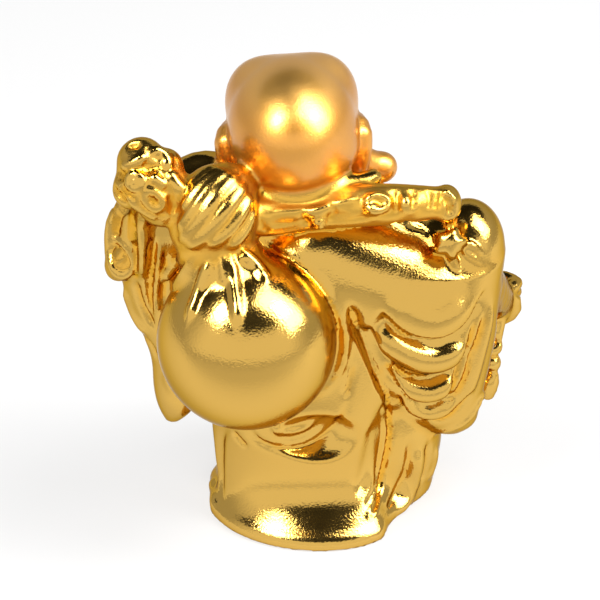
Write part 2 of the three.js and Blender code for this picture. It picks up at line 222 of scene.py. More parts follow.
# A row of a body of cloth is its height, centre x, centre y, side, back and front.
wax = Wax()
ROBE_FULL = 0.96
ROBE = [
    [0, -3, -1, 22.9, 21.5, 20.9],
    [1.8, -3, -1, 22.9, 21.4, 20.9],
    [2.4, -3, -1, 22.6, 20.9, 20.8],
    [3.2, -2.95, -1, 22, 19.9, 20.6],
    [4.2, -2.9, -1, 21.5, 18.8, 20.4],
    [5.8, -2.7, -1, 21, 17.2, 19.8],
    [8, -2.4, -1, 20.8, 15.6, 19.3],
    [10.5, -2.2, -1, 20.9, 14.6, 19.1],
    [13, -2.1, -1, 21, 14.3, 19],
    [17, -2, -1, 21.2, 14.7, 19],
    [24, -1.5, -1, 21, 15.4, 19],
    [36, -1, -1, 22, 15, 18.5],
    [48, 0, 0, 23, 14.8, 15],
    [53, 0.5, 0, 23, 14, 13],
    [57, 1, 0, 22, 11.4, 12],
    [60, 1.5, 0, 20, 9.6, 10.6],
    [63, 2, 0, 17, 8, 9.5],
    [68, 3, 0, 10, 7.2, 8],
    [71, 3.4, -0.3, 7.5, 7, 7],
]
COLLAR = [(-11, 4, 69.8), (-5, 8.6, 69.6), (3, 10.2, 68.8), (12, 9.4, 68.4)]
COLLAR_RADII = [1.6, 2, 2, 1.8]

# Angles go round the robe from the figure's left by its back. A pair is where a form starts and is full.
PANEL_START, PANEL_END, PANEL_TOP, PANEL_PROUD = (10, 25), (115, 128), (19, 30), 1.4
VALLEY_ANGLE, VALLEY_DEPTH, VALLEY_WIDTH = 148, 4.8, 34
SKIRT_START, SKIRT_END, SKIRT_TOP = (175, 200), (340, 360), (14, 21)
FLUTES, FLUTE_PROUD = 9, 0.9
RIMLESS_START, RIMLESS_END, RIM_TOP, RIM_CUT = (118, 134), (330, 350), (2, 5), 0.9


def robe_lift(points, angle):
    """A proud panel at the back, a valley beside it, and flutes round the rest of the skirt."""
    height = points[:, 2]
    low = 1 - smooth(*PANEL_TOP, height)
    panel = smooth(*PANEL_START, angle) * (1 - smooth(*PANEL_END, angle))
    valley = np.exp(-(((angle - VALLEY_ANGLE) / VALLEY_WIDTH) ** 2))
    skirt = smooth(*SKIRT_START, angle) * (1 - smooth(*SKIRT_END, angle)) * (1 - smooth(*SKIRT_TOP, height))
    rimless = smooth(*RIMLESS_START, angle) * (1 - smooth(*RIMLESS_END, angle))
    rimless = rimless * (1 - smooth(*RIM_TOP, height))
    return (low * (PANEL_PROUD * panel - VALLEY_DEPTH * valley) - RIM_CUT * rimless
            + FLUTE_PROUD * np.cos(np.radians(angle * FLUTES)) * skirt)


wax.lay(Body(ROBE, ROBE_FULL, robe_lift))
wax.lay(Cord(COLLAR, COLLAR_RADII), soft=1.2)


# The robe beside the back panel, where it hangs over the right leg: the same cloth, fuller, with upright
# folds. A stroke's path is in pixels of the camera's picture, or in millimetres where places have three
# numbers. After it come the stroke's width or radius, and how high, deep or far sunk it is.
def turned(x, y, z):
    return np.array(Matrix.Rotation(math.radians(x), 3, "X") @ Matrix.Rotation(math.radians(y), 3, "Y")
                    @ Matrix.Rotation(math.radians(z), 3, "Z"))


class Ball:
    """An ellipsoid."""
    def __init__(self, centre, radii, turn=(0, 0, 0)):
        self.centre, self.radii = np.asarray(centre, float), np.ones(3) * radii
        self.turn = turned(*turn)
        self.low, self.high = self.centre - self.radii.max(), self.centre + self.radii.max()

    def depth(self, points):
        local = (points - self.centre) @ self.turn
        share = np.linalg.norm(local / self.radii, axis=1)
        slope = np.linalg.norm(local / self.radii ** 2, axis=1) + 1e-9
        return share * (share - 1) / slope


def sight(pixel):
    """The direction from the camera through a pixel of its picture."""
    across = (pixel[0] - PICTURE_SIDE / 2) / FOCAL_PIXELS
    down = (pixel[1] - PICTURE_SIDE / 2) / FOCAL_PIXELS
    way = camera_right * across - camera_up * down - camera_back
    return way / np.linalg.norm(way)


TRACED_PLACES = 30
FARTHEST_LEAP = 6
EASINGS = 6


def eased(values, passes):
    for _ in range(passes):
        values[1:-1] = (values[:-2] + 2 * values[1:-1] + values[2:]) / 4


def traced(path, skin):
    """Places on the skin under a path in pixels or in millimetres, each with the skin's normal."""
    if len(path[0]) == 2:
        ways = [sight(pixel) for pixel in along([(*pixel, 0) for pixel in path], TRACED_PLACES)]
        hits = [(way, skin.ray_cast(Vector(metres(camera_eye)), Vector(way))) for way in ways]
        hits = [(way, hit) for way, hit in hits if hit[0]]
        ways, normals = np.array([way for way, _ in hits]), np.array([hit[1] for _, hit in hits])
        far = np.array([hit[3] for _, hit in hits]) / MM
        far = np.minimum(far, np.median(far) + FARTHEST_LEAP)
        eased(far, EASINGS)
        eased(normals, EASINGS)
        return np.column_stack([camera_eye + ways * far[:, None], normals])
    hits = [skin.find_nearest(Vector(metres(place))) for place in along(path, TRACED_PLACES)]
    return np.array([[*(np.array(hit[0]) / MM + CASTING_CENTRE), *hit[1]] for hit in hits])


class Fold:
    """A raised fold along a path on the skin, or a crease where its height is below zero.

    The path is in pixels of the camera's picture or in millimetres. It has a width to each side, left
    and right as it is drawn, and a sharp one comes to an edge along its middle.
    """
    SPACING = 0.9
    OVER = 4.2
    PLACE_EASINGS, NORMAL_EASINGS = 2, 8

    def __init__(self, path, width, height, sharp, ends):
        self.path, self.height, self.sharp, self.ends = path, height, sharp, ends
        self.left, self.right = width if isinstance(width, tuple) else (width, width)

    def follow(self, skin):
        spots = traced(self.path, skin)
        length = np.linalg.norm(np.diff(spots[:, :3], axis=0), axis=1).sum()
        count = max(6, round(length / self.SPACING))
        run = along(spots, count)
        eased(run[:, :3], self.PLACE_EASINGS)
        eased(run[:, 3:], self.NORMAL_EASINGS)
        share = np.linspace(0, 1, count)
        taper = smooth(0, self.ends, share) * smooth(0, self.ends, 1 - share)
        self.places = run[:, :3]
        self.rows = np.column_stack([run[:, 3:], 0.5 + 0.5 * taper, self.height * taper])
        self.wide = max(self.left, self.right, self.OVER)
        self.low, self.high = self.places.min(0) - self.wide, self.places.max(0) + self.wide

    def lift(self, points):
        """How far the skin is raised, by the distance from the path as measured along the skin."""
        step = np.diff(self.places, axis=0)
        offset = points[:, None] - self.places[:-1]
        share = np.clip((offset * step).sum(2) / ((step ** 2).sum(1) + 1e-9), 0, 1)
        gap = ((offset - share[..., None] * step) ** 2).sum(2)
        nearest, every = gap.argmin(1), np.arange(len(points))
        share = share[every, nearest][:, None]
        offset = offset[every, nearest] - share * step[nearest]
        row = self.rows[nearest] * (1 - share) + self.rows[nearest + 1] * share
        normal = row[:, :3] / (np.linalg.norm(row[:, :3], axis=1)[:, None] + 1e-9)
        over = (offset * normal).sum(1)
        flat = offset - over[:, None] * normal
        side = (flat * np.cross(step[nearest], normal)).sum(1)
        wide = np.where(side > 0, self.right, self.left) * row[:, 3]
        out = np.sqrt((flat ** 2).sum(1) + 0.01) / wide
        share = np.clip(1 - out, 0, 1)
        profile = share * share * (self.sharp + (1 - self.sharp) * (3 - 2 * share))
        return row[:, 4] * profile * (1 - smooth(0.6 * self.OVER, self.OVER, np.abs(over)))


def work(steps):
    """Works rows in turn: a row is a way of working the wax, and what that way takes."""
    for way, *what in steps:
        way(*what)


LEG = [
    (wax.lay, Ball((-15, -4, 12), (10.4, 11.4, 16)), 3),
    (wax.fold, [(419, 446), (417, 470), (409, 496), (396, 516)], 2.4, 1.0),
    (wax.crease, [(428, 440), (427, 464), (420, 486)], 1.6, 0.9),
    (wax.crease, [(409, 436), (409, 460), (400, 488), (386, 512)], 1.8, 0.9),
    (wax.fold, [(436, 446), (434, 464), (426, 482)], 1.6, 0.6),
]
work(LEG)

# The back panel of the robe: cloth that hangs in swags under the sack and ends at the right in a free
# edge. The hollow under the sack is cut out of it, and the rest is folded and creased.
BACK_PANEL = [
    (wax.cut, Ball((-1.4, 18.1, 20.6), (11, 6.2, 6.2)), 0.8),
    (wax.crease, [(234, 424), (246, 434), (262, 443), (280, 448), (298, 448), (316, 441), (332, 428),
                  (345, 408), (352, 392)], (1.4, 2.4), 1.0, 1.0, 0.2),
    (wax.fold, [(262, 425), (283, 431), (304, 427), (322, 414)], 1.4, 0.9),
    (wax.crease, [(232, 430), (240, 441), (248, 448)], 1.2, 0.8),
    (wax.crease, [(354, 364), (351, 382), (345, 400)], (1.2, 2.0), 0.9),
    (wax.crease, [(388, 398), (391, 420), (389, 445), (384, 470), (379, 495), (370, 518)], (1.0, 3.0), 2.2,
     0.8, 0.1),
    (wax.fold, [(383, 405), (386, 422), (384, 450), (379, 478), (374, 500), (366, 520)], (2.2, 1.0), 1.2,
     0.2, 0.1),
    (wax.crease, [(373, 420), (371, 450), (364, 480), (357, 500)], 3.0, 0.8, 0.2),
    (wax.crease, [(221, 424), (220, 455), (221, 485), (224, 508)], 1.8, 0.9, 0.4),
    (wax.fold, [(212, 424), (211, 455), (212, 485), (216, 512)], 1.8, 0.6),
]
work(BACK_PANEL)

# The rim of cloth that the sack lies against. The robe is drawn up there into a long raised edge, with a
# deep crease between it and the sack.
RIM = [
    (wax.crease, [(254, 256), (282, 264), (305, 286), (323, 314), (334, 345), (335, 370), (325, 394),
                  (300, 418)], (2.4, 3.0), 2.6, 0.5, 0.12),
    (wax.fold, [(244, 249), (255, 243), (265, 243), (280, 249), (293, 257), (305, 267), (317, 279),
                (329, 297), (339, 315), (345, 335), (345, 352), (341, 372), (333, 388), (318, 404),
                (300, 416)], (1.8, 1.2), 1.5, 0.7, 0.06),
]
work(RIM)


# The right sleeve: a full, smooth shoulder, and swags of heavy cloth that hang below it one under the
# other. A swag is a sunk roll between creases that are steep above and wide below.
class Roll(Cord):
    """A round roll of cloth along a path on the skin, sunk into it, that thins to its ends."""
    SPACING = 0.9
    THIN_END = 0.3

    def __init__(self, path, radius, sunk, ends):
        self.path, self.radius, self.sunk, self.ends = path, radius, sunk, ends

    def follow(self, skin):
        spots = traced(self.path, skin)
        share = np.linspace(0, 1, len(spots))
        rise, fall = smooth(0, self.ends, share), smooth(0, self.ends, 1 - share)
        taper = self.THIN_END + (1 - self.THIN_END) * rise * fall
        lean = spots[:, 3:] / np.linalg.norm(spots[:, 3:], axis=1)[:, None]
        self.places, self.radii = spots[:, :3] - self.sunk * lean, self.radius * taper
        self.wide = self.radius + self.SPACING
        self.low, self.high = self.places.min(0) - self.wide, self.places.max(0) + self.wide


RIGHT_SLEEVE_FULL = 0.8
RIGHT_SLEEVE = [
    [15, -26.2, 1.6, 2.6, 2, 3],
    [17, -26.2, 1.6, 4.8, 4, 6],
    [20, -25, 2, 7, 5.4, 8],
    [24, -24, 2.2, 8.6, 6.4, 9.4],
    [30, -23, 2.4, 10.6, 7.2, 10.6],
    [37, -22.4, 2.6, 12.2, 8, 11.6],
    [44, -21.4, 2.6, 13.4, 8.8, 12],
    [52, -20, 2.4, 14, 9, 11],
]
SHOULDER = [
    (wax.lay, Ball((-21.5, 2, 34.5), (13, 10, 12.9), (0, 0, 30)), 2),
    (wax.lay, Ball((-20.5, 2, 42), (14.6, 11.4, 14.9), (0, 0, 30)), 2),
    (wax.lay, Cord([(-1.2, 3.6, 53.8), (-12, 4.6, 48.8), (-21.2, 4.8, 44.4)], [11, 11, 10.3]), 2.5),
    (wax.lay, Cord([(-3.6, -0.8, 56.6), (-13, 0.4, 51.9), (-23.4, 1.4, 47.2)], [11, 11, 10.8]), 2.5),
    (wax.lay, Ball((-29, 0.2, 54), (6.9, 8.4, 9)), 3),
]
SWAGS = [
    (wax.crease, [(349, 300), (352, 320), (360, 340), (370, 362), (380, 385), (393, 408), (405, 424),
                  (416, 434)], (2.8, 1.2), 2.2, 0.7, 0.12),
    (wax.roll, [(384, 294), (395, 310), (412, 321), (432, 326), (452, 320), (468, 307), (476, 295)], 3.4,
     2.8, 1.5),
    (wax.roll, [(378, 322), (386, 336), (398, 348), (412, 356), (428, 361), (444, 359), (458, 350),
                (469, 338)], 3.6, 1.7),
    (wax.roll, [(384, 360), (394, 375), (406, 386), (420, 392), (434, 392), (446, 385), (457, 373)], 3.0,
     1.5),
    (wax.roll, [(396, 392), (407, 404), (420, 412), (434, 413), (446, 407), (455, 397)], 2.2, 1.2),
    (wax.crease, [(381, 309), (387, 319), (395, 328), (405, 335), (416, 339), (428, 341), (440, 341),
                  (452, 337), (463, 328), (472, 317), (480, 304), (486, 288)], (0.9, 5.0), 2.7, 1.0, 0.12),
    (wax.crease, [(371, 326), (373, 340), (380, 354), (390, 365), (401, 373), (413, 378), (426, 379),
                  (438, 376), (450, 368), (459, 357), (467, 343)], (0.9, 5.2), 3.2, 1.0, 0.12),
    (wax.crease, [(385, 368), (392, 378), (400, 388), (409, 397), (420, 403), (432, 405), (442, 399),
                  (450, 388)], (0.8, 4.4), 2.9, 1.0, 0.15),
    (wax.crease, [(398, 398), (405, 408), (415, 416), (428, 424)], (0.8, 2.0), 1.4, 0.8),
    (wax.crease, [(480, 318), (472, 340), (466, 360), (458, 378), (449, 394), (440, 406)], (0.8, 1.4), 1.5,
     0.8),
    (wax.crease, [(488, 308), (481, 335), (473, 360), (464, 384), (452, 402), (441, 413)], (0.8, 1.8), 1.4,
     0.8),
    (wax.fold, [(493, 300), (486, 335), (478, 366), (469, 392), (456, 410)], 1.6, 0.8),
    (wax.crease, [(426, 416), (440, 421), (453, 413), (464, 401), (473, 386)], (0.8, 1.4), 1.1, 0.8),
    (wax.fold, [(484, 388), (478, 402), (470, 416), (460, 424), (444, 430), (430, 432)], (1.4, 1.0), 0.9,
     0.3),
    (wax.lay, Cord([(-29, 0, 46), (-33, -5, 41), (-35, -9, 38)], [7, 5, 4]), 1.2),
]
wax.lay(Body(RIGHT_SLEEVE, RIGHT_SLEEVE_FULL), soft=2)
work(SHOULDER)
work(SWAGS)

# The left sleeve, raised to the staff: cloth that hangs from the arm in long upright folds, with a wide
# cuff whose edge is rolled round a hollow.
LEFT_SLEEVE = [
    [17, 26.8, 1, 1.4, 1.4, 1.4],
    [19, 26.2, 0.6, 3, 3.4, 3.4],
    [24, 26, 0, 4.4, 5, 6],
    [31, 26, -0.6, 5, 5.8, 8],
    [38, 26.6, -1, 6.8, 6.6, 9.6],
    [46, 27.6, -1, 8.2, 7, 10],
    [54, 29.4, -0.4, 7.6, 7.4, 9],
    [60, 29.8, 0.6, 6.2, 7.4, 7.6],
    [65, 29.4, 2, 5, 6, 6],
]
RAISED_ARM = [
    (wax.lay, Cord([(12, 1, 60), (20, 1, 62), (27, 0, 58)], [9, 8.6, 8]), 2.5),
    (wax.lay, Cord([(14, -1, 68), (20.6, -2, 68.4), (26, 0, 66)], [3.4, 3.6, 3.6]), 1.2),
    (wax.lay, Cord([(34.4, 2, 64.4), (36.6, 2, 59.6), (37, 2.4, 54)], [1.3, 1.6, 1.6]), 0.8),
    (wax.lay, Ball((35, 3, 52.6), (3.3, 3.4, 4.6), (0, -30, 0)), 0.8),
    (wax.lay, Cord([(28.6, 1, 58), (29.6, 5, 66), (30, 8, 70)], [5, 4.4, 4]), 1),
]
CUFF = [
    (wax.fold, [(141, 212), (144, 235), (144, 262), (138, 284)], 2.3, 1.6),
    (wax.groove, [(123, 202), (119, 215), (116, 228), (115, 238)], 1.6, 1.5),
    (wax.groove, [(131, 208), (130, 226), (132, 246)], 1.2, 1.2),
    (wax.crease, [(134, 214), (135, 235), (136, 258), (134, 280)], 1.2, 1.2),
    (wax.crease, [(153, 232), (152, 262), (150, 290), (152, 320)], 1.6, 1.6),
    (wax.fold, [(159, 240), (158, 270), (156, 298), (157, 322)], 1.3, 1.0),
    (wax.crease, [(165, 248), (163, 275), (161, 300), (162, 330)], 1.4, 1.6),
    (wax.roll, [(108, 244), (116, 240), (125, 247), (132, 260), (130, 272), (120, 276), (112, 268),
                (107, 254)], 0.9, 0.2),
    (wax.groove, [(117, 252), (121, 258), (122, 264)], 1.6, 0.9, 1),
    (wax.crease, [(136, 279), (139, 298), (147, 316), (156, 330)], 1.3, 1.1),
    (wax.fold, [(124, 286), (130, 305), (138, 322), (150, 336)], 2.0, 0.8),
    (wax.crease, [(136, 330), (149, 342), (157, 360)], 1.3, 0.8),
    (wax.fold, [(157, 326), (159, 350), (164, 380), (172, 408)], 1.8, 0.8),
]
wax.lay(Body(LEFT_SLEEVE), soft=1.2)
work(RAISED_ARM)
work(CUFF)

# The sack: a round cloth bag, smooth and full, gathered in pleats at its neck. It is cast against the
# robe, and its mouth goes up into the cloth that ties it to the staff.
SACK, SACK_MOUTH = np.array([12, 18, 43.7]), np.array([17.4, 15, 61.5])
SACK_RADIUS, SACK_NECK = 16.4, 7.4
NECK_RISE, NECK_TAPER = (0.6, 0.78, 0.9, 1.02), (1.25, 1.05, 0.92, 0.86)
PLEAT_SUNK = 0.3
PLEATS = [
    ([(229, 250), (232, 272), (236, 300), (239, 332)], 1.25),
    ([(221, 253), (224, 270), (226, 286)], 1.0),
    ([(212, 254), (204, 276), (195, 300), (185, 326)], 1.25),
    ([(197, 256), (184, 273), (172, 292)], 1.2),
    ([(188, 254), (174, 266), (162, 282)], 1.2),
    ([(236, 250), (248, 258), (259, 269), (267, 285)], 1.5),
]
NECK_CREASE = [(168, 242), (185, 251), (200, 252), (215, 250), (226, 246), (236, 251), (246, 258)]
neck = [SACK + (SACK_MOUTH - SACK) * share for share in NECK_RISE]
wax.lay(Ball(SACK, SACK_RADIUS), soft=0.5)
wax.lay(Cord(neck, [SACK_NECK * share for share in NECK_TAPER]), soft=1.6)
for path, radius in PLEATS:
    wax.roll(path, radius, PLEAT_SUNK * radius, soft=0.5)
wax.crease(NECK_CREASE, width=1.3, deep=1.5)

# The staff across the shoulders: a crooked branch with burls, and bark carved in rings and furrows. Its
# plating is brushed, so the branch is laid in a wax of its own too, which tells later where that is.
STAFF_RADIUS = 3.8
STAFF_TAPER = (0.8, 0.95, 1, 0.92, 1, 1, 1.1, 1.25)
STAFF = [(-21.6, 9.2, 67.2), (-15.8, 9.8, 67.3), (-5, 10.2, 66.9), (2.3, 10.4, 66), (9, 11.2, 65.6),
         (15, 12.4, 67), (21, 13.6, 69.2), (27, 14, 72)]
BURLS = [(-17, 12.4, 68.4, 1.7), (-10.8, 13.2, 68.2, 1.8), (-1, 13.6, 66, 1.8)]
BARK = [
    (wax.lay, Ball((-24.2, 8.8, 66.8), (2.8, 3.4, 3.6)), 0.8),
    (wax.fold, [(266, 215), (285, 212), (305, 212), (325, 208), (345, 202), (364, 198)], 1.5, 0.7),
    (wax.crease, [(262, 223), (285, 225), (310, 221), (335, 216), (358, 214)], 1.2, 0.7),
    (wax.crease, [(258, 232), (285, 231), (312, 226), (345, 221), (380, 216), (410, 213)], 0.9, 0.5),
    (wax.fold, [(364, 204), (367, 198), (377, 195), (387, 197), (391, 203), (387, 209), (376, 211),
                (367, 209), (364, 203)], 1.0, 0.8, 0.3, 0.03),
    (wax.crease, [(370, 204), (375, 199), (383, 201), (383, 206), (376, 207)], 0.8, 0.7),
    (wax.crease, [(394, 190), (397, 202), (395, 214)], 1.2, 0.9),
    (wax.crease, [(410, 189), (414, 200), (411, 212)], 1.2, 0.9),
    (wax.crease, [(427, 190), (431, 201), (428, 211)], 1.0, 0.8),
    (wax.crease, [(261, 218), (263, 228), (270, 233)], 0.9, 0.7),
    (wax.crease, [(302, 209), (303, 220), (310, 228)], 0.9, 0.8),
    (wax.crease, [(331, 200), (334, 211), (331, 223)], 0.9, 0.6),
]
branch = Cord(STAFF, [STAFF_RADIUS * share for share in STAFF_TAPER])
brushed_wax = Wax()
wax.lay(branch, soft=0.6)
brushed_wax.lay(branch)
for x, y, z, size in BURLS:
    wax.lay(Ball((x, y, z), size), soft=1.4)
work(BARK)

# The thick end of the staff: a knotted root of five lumps, with creases between them, and rings and
# ridges raised on them. A lump's row is its place, and its width and height in shares of KNOB.
KNOB = 5.4
LUMPS = [(26.6, 13.6, 70.4, 0.96, 1), (29.8, 13.6, 73.6, 0.98, 1.02), (30.6, 12.4, 77, 0.82, 0.78),
         (32.3, 15, 72.6, 0.62, 0.66), (26.2, 12.4, 75.8, 0.6, 0.66)]
LUMP_LEAN, LUMP_TURN = 20, 40
BRUSHED_SINK = 1
CREASE_SPREAD, CREASE_BITE = 0.9, 1.3
KNOB_CREASES = [
    ([(127, 147), (134, 145), (142, 145)], 1.4, 1.1),
    ([(106, 168), (116, 172), (128, 170), (138, 164), (147, 159)], 1.0, 1.3),
    ([(113, 177), (122, 179), (133, 174), (142, 170), (149, 166)], 0.9, 0.9),
    ([(107, 176), (112, 186), (120, 196), (128, 204)], 1.0, 1.0),
    ([(147, 158), (148, 170), (153, 180), (161, 186)], 1.1, 1.5),
    ([(151, 164), (158, 168), (167, 165)], 0.9, 0.7),
    ([(146, 187), (156, 190), (168, 190)], 1.0, 1.2),
    ([(138, 204), (146, 210), (156, 214), (166, 217)], 0.9, 1.0),
    ([(120, 186), (128, 193), (136, 202)], 0.9, 1.0),
    ([(168, 194), (173, 204), (171, 216)], 1.1, 1.2),
    ([(172, 206), (178, 208), (182, 212)], 1.2, 1.4),
    ([(150, 196), (155, 200), (158, 204)], 0.9, 0.8),
]
KNOB_RIDGES = [
    (wax.roll, [(108, 163), (118, 166), (130, 164), (140, 159), (147, 153)], 1.1, 0.4, 0.4),
    (wax.roll, [(127, 181), (131, 175), (138, 175), (142, 181), (139, 188), (132, 188), (127, 182)], 0.75,
     0.1, 0.3, 0.04),
    (wax.roll, [(133, 181), (136, 182)], 1.0, 0.3, 0.3, 0.5),
    (wax.roll, [(143, 196), (149, 190), (157, 194), (163, 203), (158, 209), (149, 205), (143, 197)], 0.8,
     0.1, 0.3, 0.04),
    (wax.roll, [(150, 153), (157, 151), (164, 155), (167, 163), (163, 172)], 1.2, 0.2, 0.4),
    (wax.roll, [(170, 172), (173, 180), (178, 187), (183, 193)], 1.5, 0.3, 0.4),
    (wax.roll, [(152, 176), (158, 181), (166, 186)], 1.1, 0.3, 0.4),
    (wax.roll, [(128, 197), (137, 206), (148, 213), (160, 220)], 1.0, 0.3, 0.4),
]
for i, (x, y, z, wide, tall) in enumerate(LUMPS):
    turn = (0, LUMP_LEAN * (i % 3), LUMP_TURN * i)
    wax.lay(Ball((x, y, z), (wide * KNOB, wide * KNOB, tall * KNOB), turn), soft=0.9)
    brushed_wax.lay(Ball((x, y, z), wide * KNOB - BRUSHED_SINK))
for path, width, deep in KNOB_CREASES:
    wax.crease(path, CREASE_SPREAD * width, CREASE_BITE * deep, sharp=0.5)
work(KNOB_RIDGES)

# The cloth that ties the sack to the staff: a broad band wound slantwise over both, its plating brushed
# as the staff's is. Each turn is a roll, sunk by a share of its radius.
TIE, TIE_RADIUS = np.array([17.6, 13.8, 68]), 8
TIE_TAPER, TIE_END = (0.8, 0.98, 0.72), np.array([-0.25, -0.2, 0.3])
TURN_SUNK = 0.2
TURNS = [
    ([(215, 168), (200, 178), (190, 190)], 1.3),
    ([(224, 169), (206, 181), (193, 195), (183, 212)], 1.4),
    ([(233, 170), (213, 185), (198, 204), (186, 222), (178, 234)], 1.5),
    ([(241, 173), (222, 190), (206, 212), (190, 233), (177, 244)], 1.6),
    ([(247, 181), (232, 201), (215, 223), (197, 240), (183, 247)], 1.6),
    ([(251, 193), (241, 213), (225, 233), (207, 246)], 1.5),
    ([(252, 210), (245, 228), (230, 246)], 1.5),
]
band = Cord([SACK_MOUTH, TIE, TIE + TIE_RADIUS * TIE_END], [TIE_RADIUS * share for share in TIE_TAPER])
wax.lay(band, soft=0.5)
brushed_wax.lay(band)
for path, radius in TURNS:
    wax.roll(path, radius, TURN_SUNK * radius, soft=0.4, ends=0.15)

# The head: a long, smooth skull with soft lobes at the brow, a full jaw and long ears. It is satin, not
# bright, so its forms are laid in a wax of their own too, which tells later where the satin is.
HEAD, HEAD_TILT = np.array([3.8, -1, 79.5]), 4
SKULL_X, SKULL_Y, SKULL_Z = 12, 16.4, 11.5
JAW = np.array([11.8, 9.6, 9.4])
JAW_PLACE = np.array([0, -0.42 * SKULL_Y, -0.62 * SKULL_Z])
NECK, NECK_RADII = [(3.2, 0, 60), (3.4, 0, 66), (3.6, -0.6, 71)], [9.2, 8.5, 8.4]
EAR, EAR_RIM_RADII, EAR_LOBE_RADII, EAR_TIP_RADIUS = 11.0, [2.3, 2.3, 2.2, 1.8], [3.4, 2.6], 2.9
tilt = turned(0, HEAD_TILT, 0)
lean = (0, HEAD_TILT, 0)
head_wax = Wax()


def on_head(x, y, z):
    return HEAD + tilt @ np.array([x, y, z])


def on_jaw(x, y, z):
    return on_head(*(JAW_PLACE + JAW * (x, y, z)))


def on_both(form, soft):
    wax.lay(form, soft)
    head_wax.lay(form, soft)


on_both(Cord(NECK, NECK_RADII), soft=1.2)
on_both(Ball(on_head(0, 0, -0.5), (SKULL_X * 0.98, SKULL_Y, SKULL_Z * 0.98), lean), soft=1.2)
on_both(Ball(on_head(-0.6, SKULL_Y * 0.1, -SKULL_Z * 0.42),
             (SKULL_X * 0.93, SKULL_Y * 0.74, SKULL_Z * 0.62), lean), soft=3)
on_both(Ball(on_jaw(0, 0, 0), JAW, lean), soft=3)
for side in (-1, 1):
    brow = on_head(side * SKULL_X * 0.47, -SKULL_Y * 0.43, SKULL_Z * 0.12)
    cheek = on_jaw(side * 0.5, -0.62, 0.08)
    ear_rim = [on_head(side * SKULL_X * 0.93, EAR * 0.05, -EAR * 0.91),
               on_head(side * SKULL_X, EAR * 0.09, -EAR * 0.61),
               on_head(side * SKULL_X * 1.02, EAR * 0.05, -EAR * 0.32),
               on_head(side * SKULL_X * 0.97, -EAR * 0.27, -EAR * 0.26)]
    ear_lobe = [on_head(side * SKULL_X * 0.9, -EAR * 0.24, -EAR * 0.96),
                on_head(side * SKULL_X * 1.28, -EAR * 0.42, -EAR * 1.2)]
    ear_tip = on_head(side * SKULL_X * 1.32, -EAR * 0.42, -EAR * 1.2)
    on_both(Ball(brow, (SKULL_X * 0.53, SKULL_Y * 0.46, SKULL_Z * 0.62), lean), soft=3)
    on_both(Ball(cheek, (SKULL_X * 0.36, SKULL_X * 0.32, SKULL_X * 0.3), lean), soft=2)
    on_both(Cord(ear_rim, EAR_RIM_RADII), soft=0.6)
    on_both(Cord(ear_lobe, EAR_LOBE_RADII), soft=0.8)
    on_both(Ball(ear_tip, EAR_TIP_RADIUS), soft=0.8)
nose, chin = [on_jaw(0, -0.84, 0.62), on_jaw(0, -1.1, 0.2)], on_jaw(0, -0.72, -0.62)
on_both(Cord(nose, [SKULL_X * 0.085, SKULL_X * 0.135]), soft=1.2)
on_both(Ball(chin, (SKULL_X * 0.28, SKULL_X * 0.19, SKULL_X * 0.19), lean), soft=1.5)

# The gathered knot of cloth on the right shoulder, with pleats that run out from it, and the cloth that
# is turned over the thin end of the staff.
SHOULDER_KNOT, SHOULDER_KNOT_RADII = (-24.8, 10.2, 59.8), (2.6, 2.4, 2.4)
KNOT_PLEATS = [
    ([(447, 243), (453, 258), (458, 276)], 1.5, 1.6),
    ([(445, 244), (438, 250), (431, 253)], 1.4, 1.4),
    ([(444, 241), (438, 234), (431, 228)], 1.4, 1.2),
    ([(448, 241), (454, 233), (458, 226)], 1.3, 1.2),
    ([(449, 243), (462, 242), (475, 249), (487, 258)], 1.3, 1.5),
    ([(452, 247), (466, 252), (478, 261), (488, 268)], 1.0, 0.9),
]
TURNOVER = [
    (wax.crease, [(440, 192), (437, 202), (438, 212)], 1.1, 1.1),
    (wax.crease, [(444, 195), (450, 202), (452, 210), (448, 216)], 1.3, 1.3, 0.3),
    (wax.fold, [(442, 189), (450, 196), (456, 204), (454, 212)], 0.9, 0.7),
    (wax.crease, [(390, 225), (408, 222), (424, 229), (433, 239)], 1.2, 0.8),
]
wax.lay(Ball(SHOULDER_KNOT, SHOULDER_KNOT_RADII), soft=1)
for path, width, proud in KNOT_PLEATS:
    wax.fold(path, width, proud, sharp=0.4, ends=0.4)
work(TURNOVER)

# The hands, and the short string of beads at the right one. A hand is a palm with four bent fingers, in
# finger radii, and the beads and their tassel hang from it against the sleeve, all in the same casting.
RIGHT_HAND, LEFT_HAND = np.array([-35.4, -11, 36.2]), np.array([30, 9, 70.6])
FINGER, FINGER_GAP, PALM = 1.35, 1.75, 3.1
KNUCKLE, MIDDLE_JOINT, FINGERTIP = 1.8, (3.2, 1.9), (1.5, 3.7)
THUMB = [(-36.4, -8, 39), (-38.6, -9.4, 37.6), (-38.8, -10.4, 34.4), (-37, -11, 32.6)]
THUMB_RADII = [1.4, 1.5, 1.5, 1.4]
BEAD, BEADS, BEAD_GAP = 2.0, np.array([-34.9, -6.6, 28.8]), 1.7
STRING, STRING_TOP, STRING_RADIUS = np.array([0.06, 0.12, -1]), (-36, -8.4, 34), 1.6
TASSEL, TASSEL_RADII = (2.6, 3.7, 4.9), [BEAD * 0.75, BEAD, BEAD * 0.7]


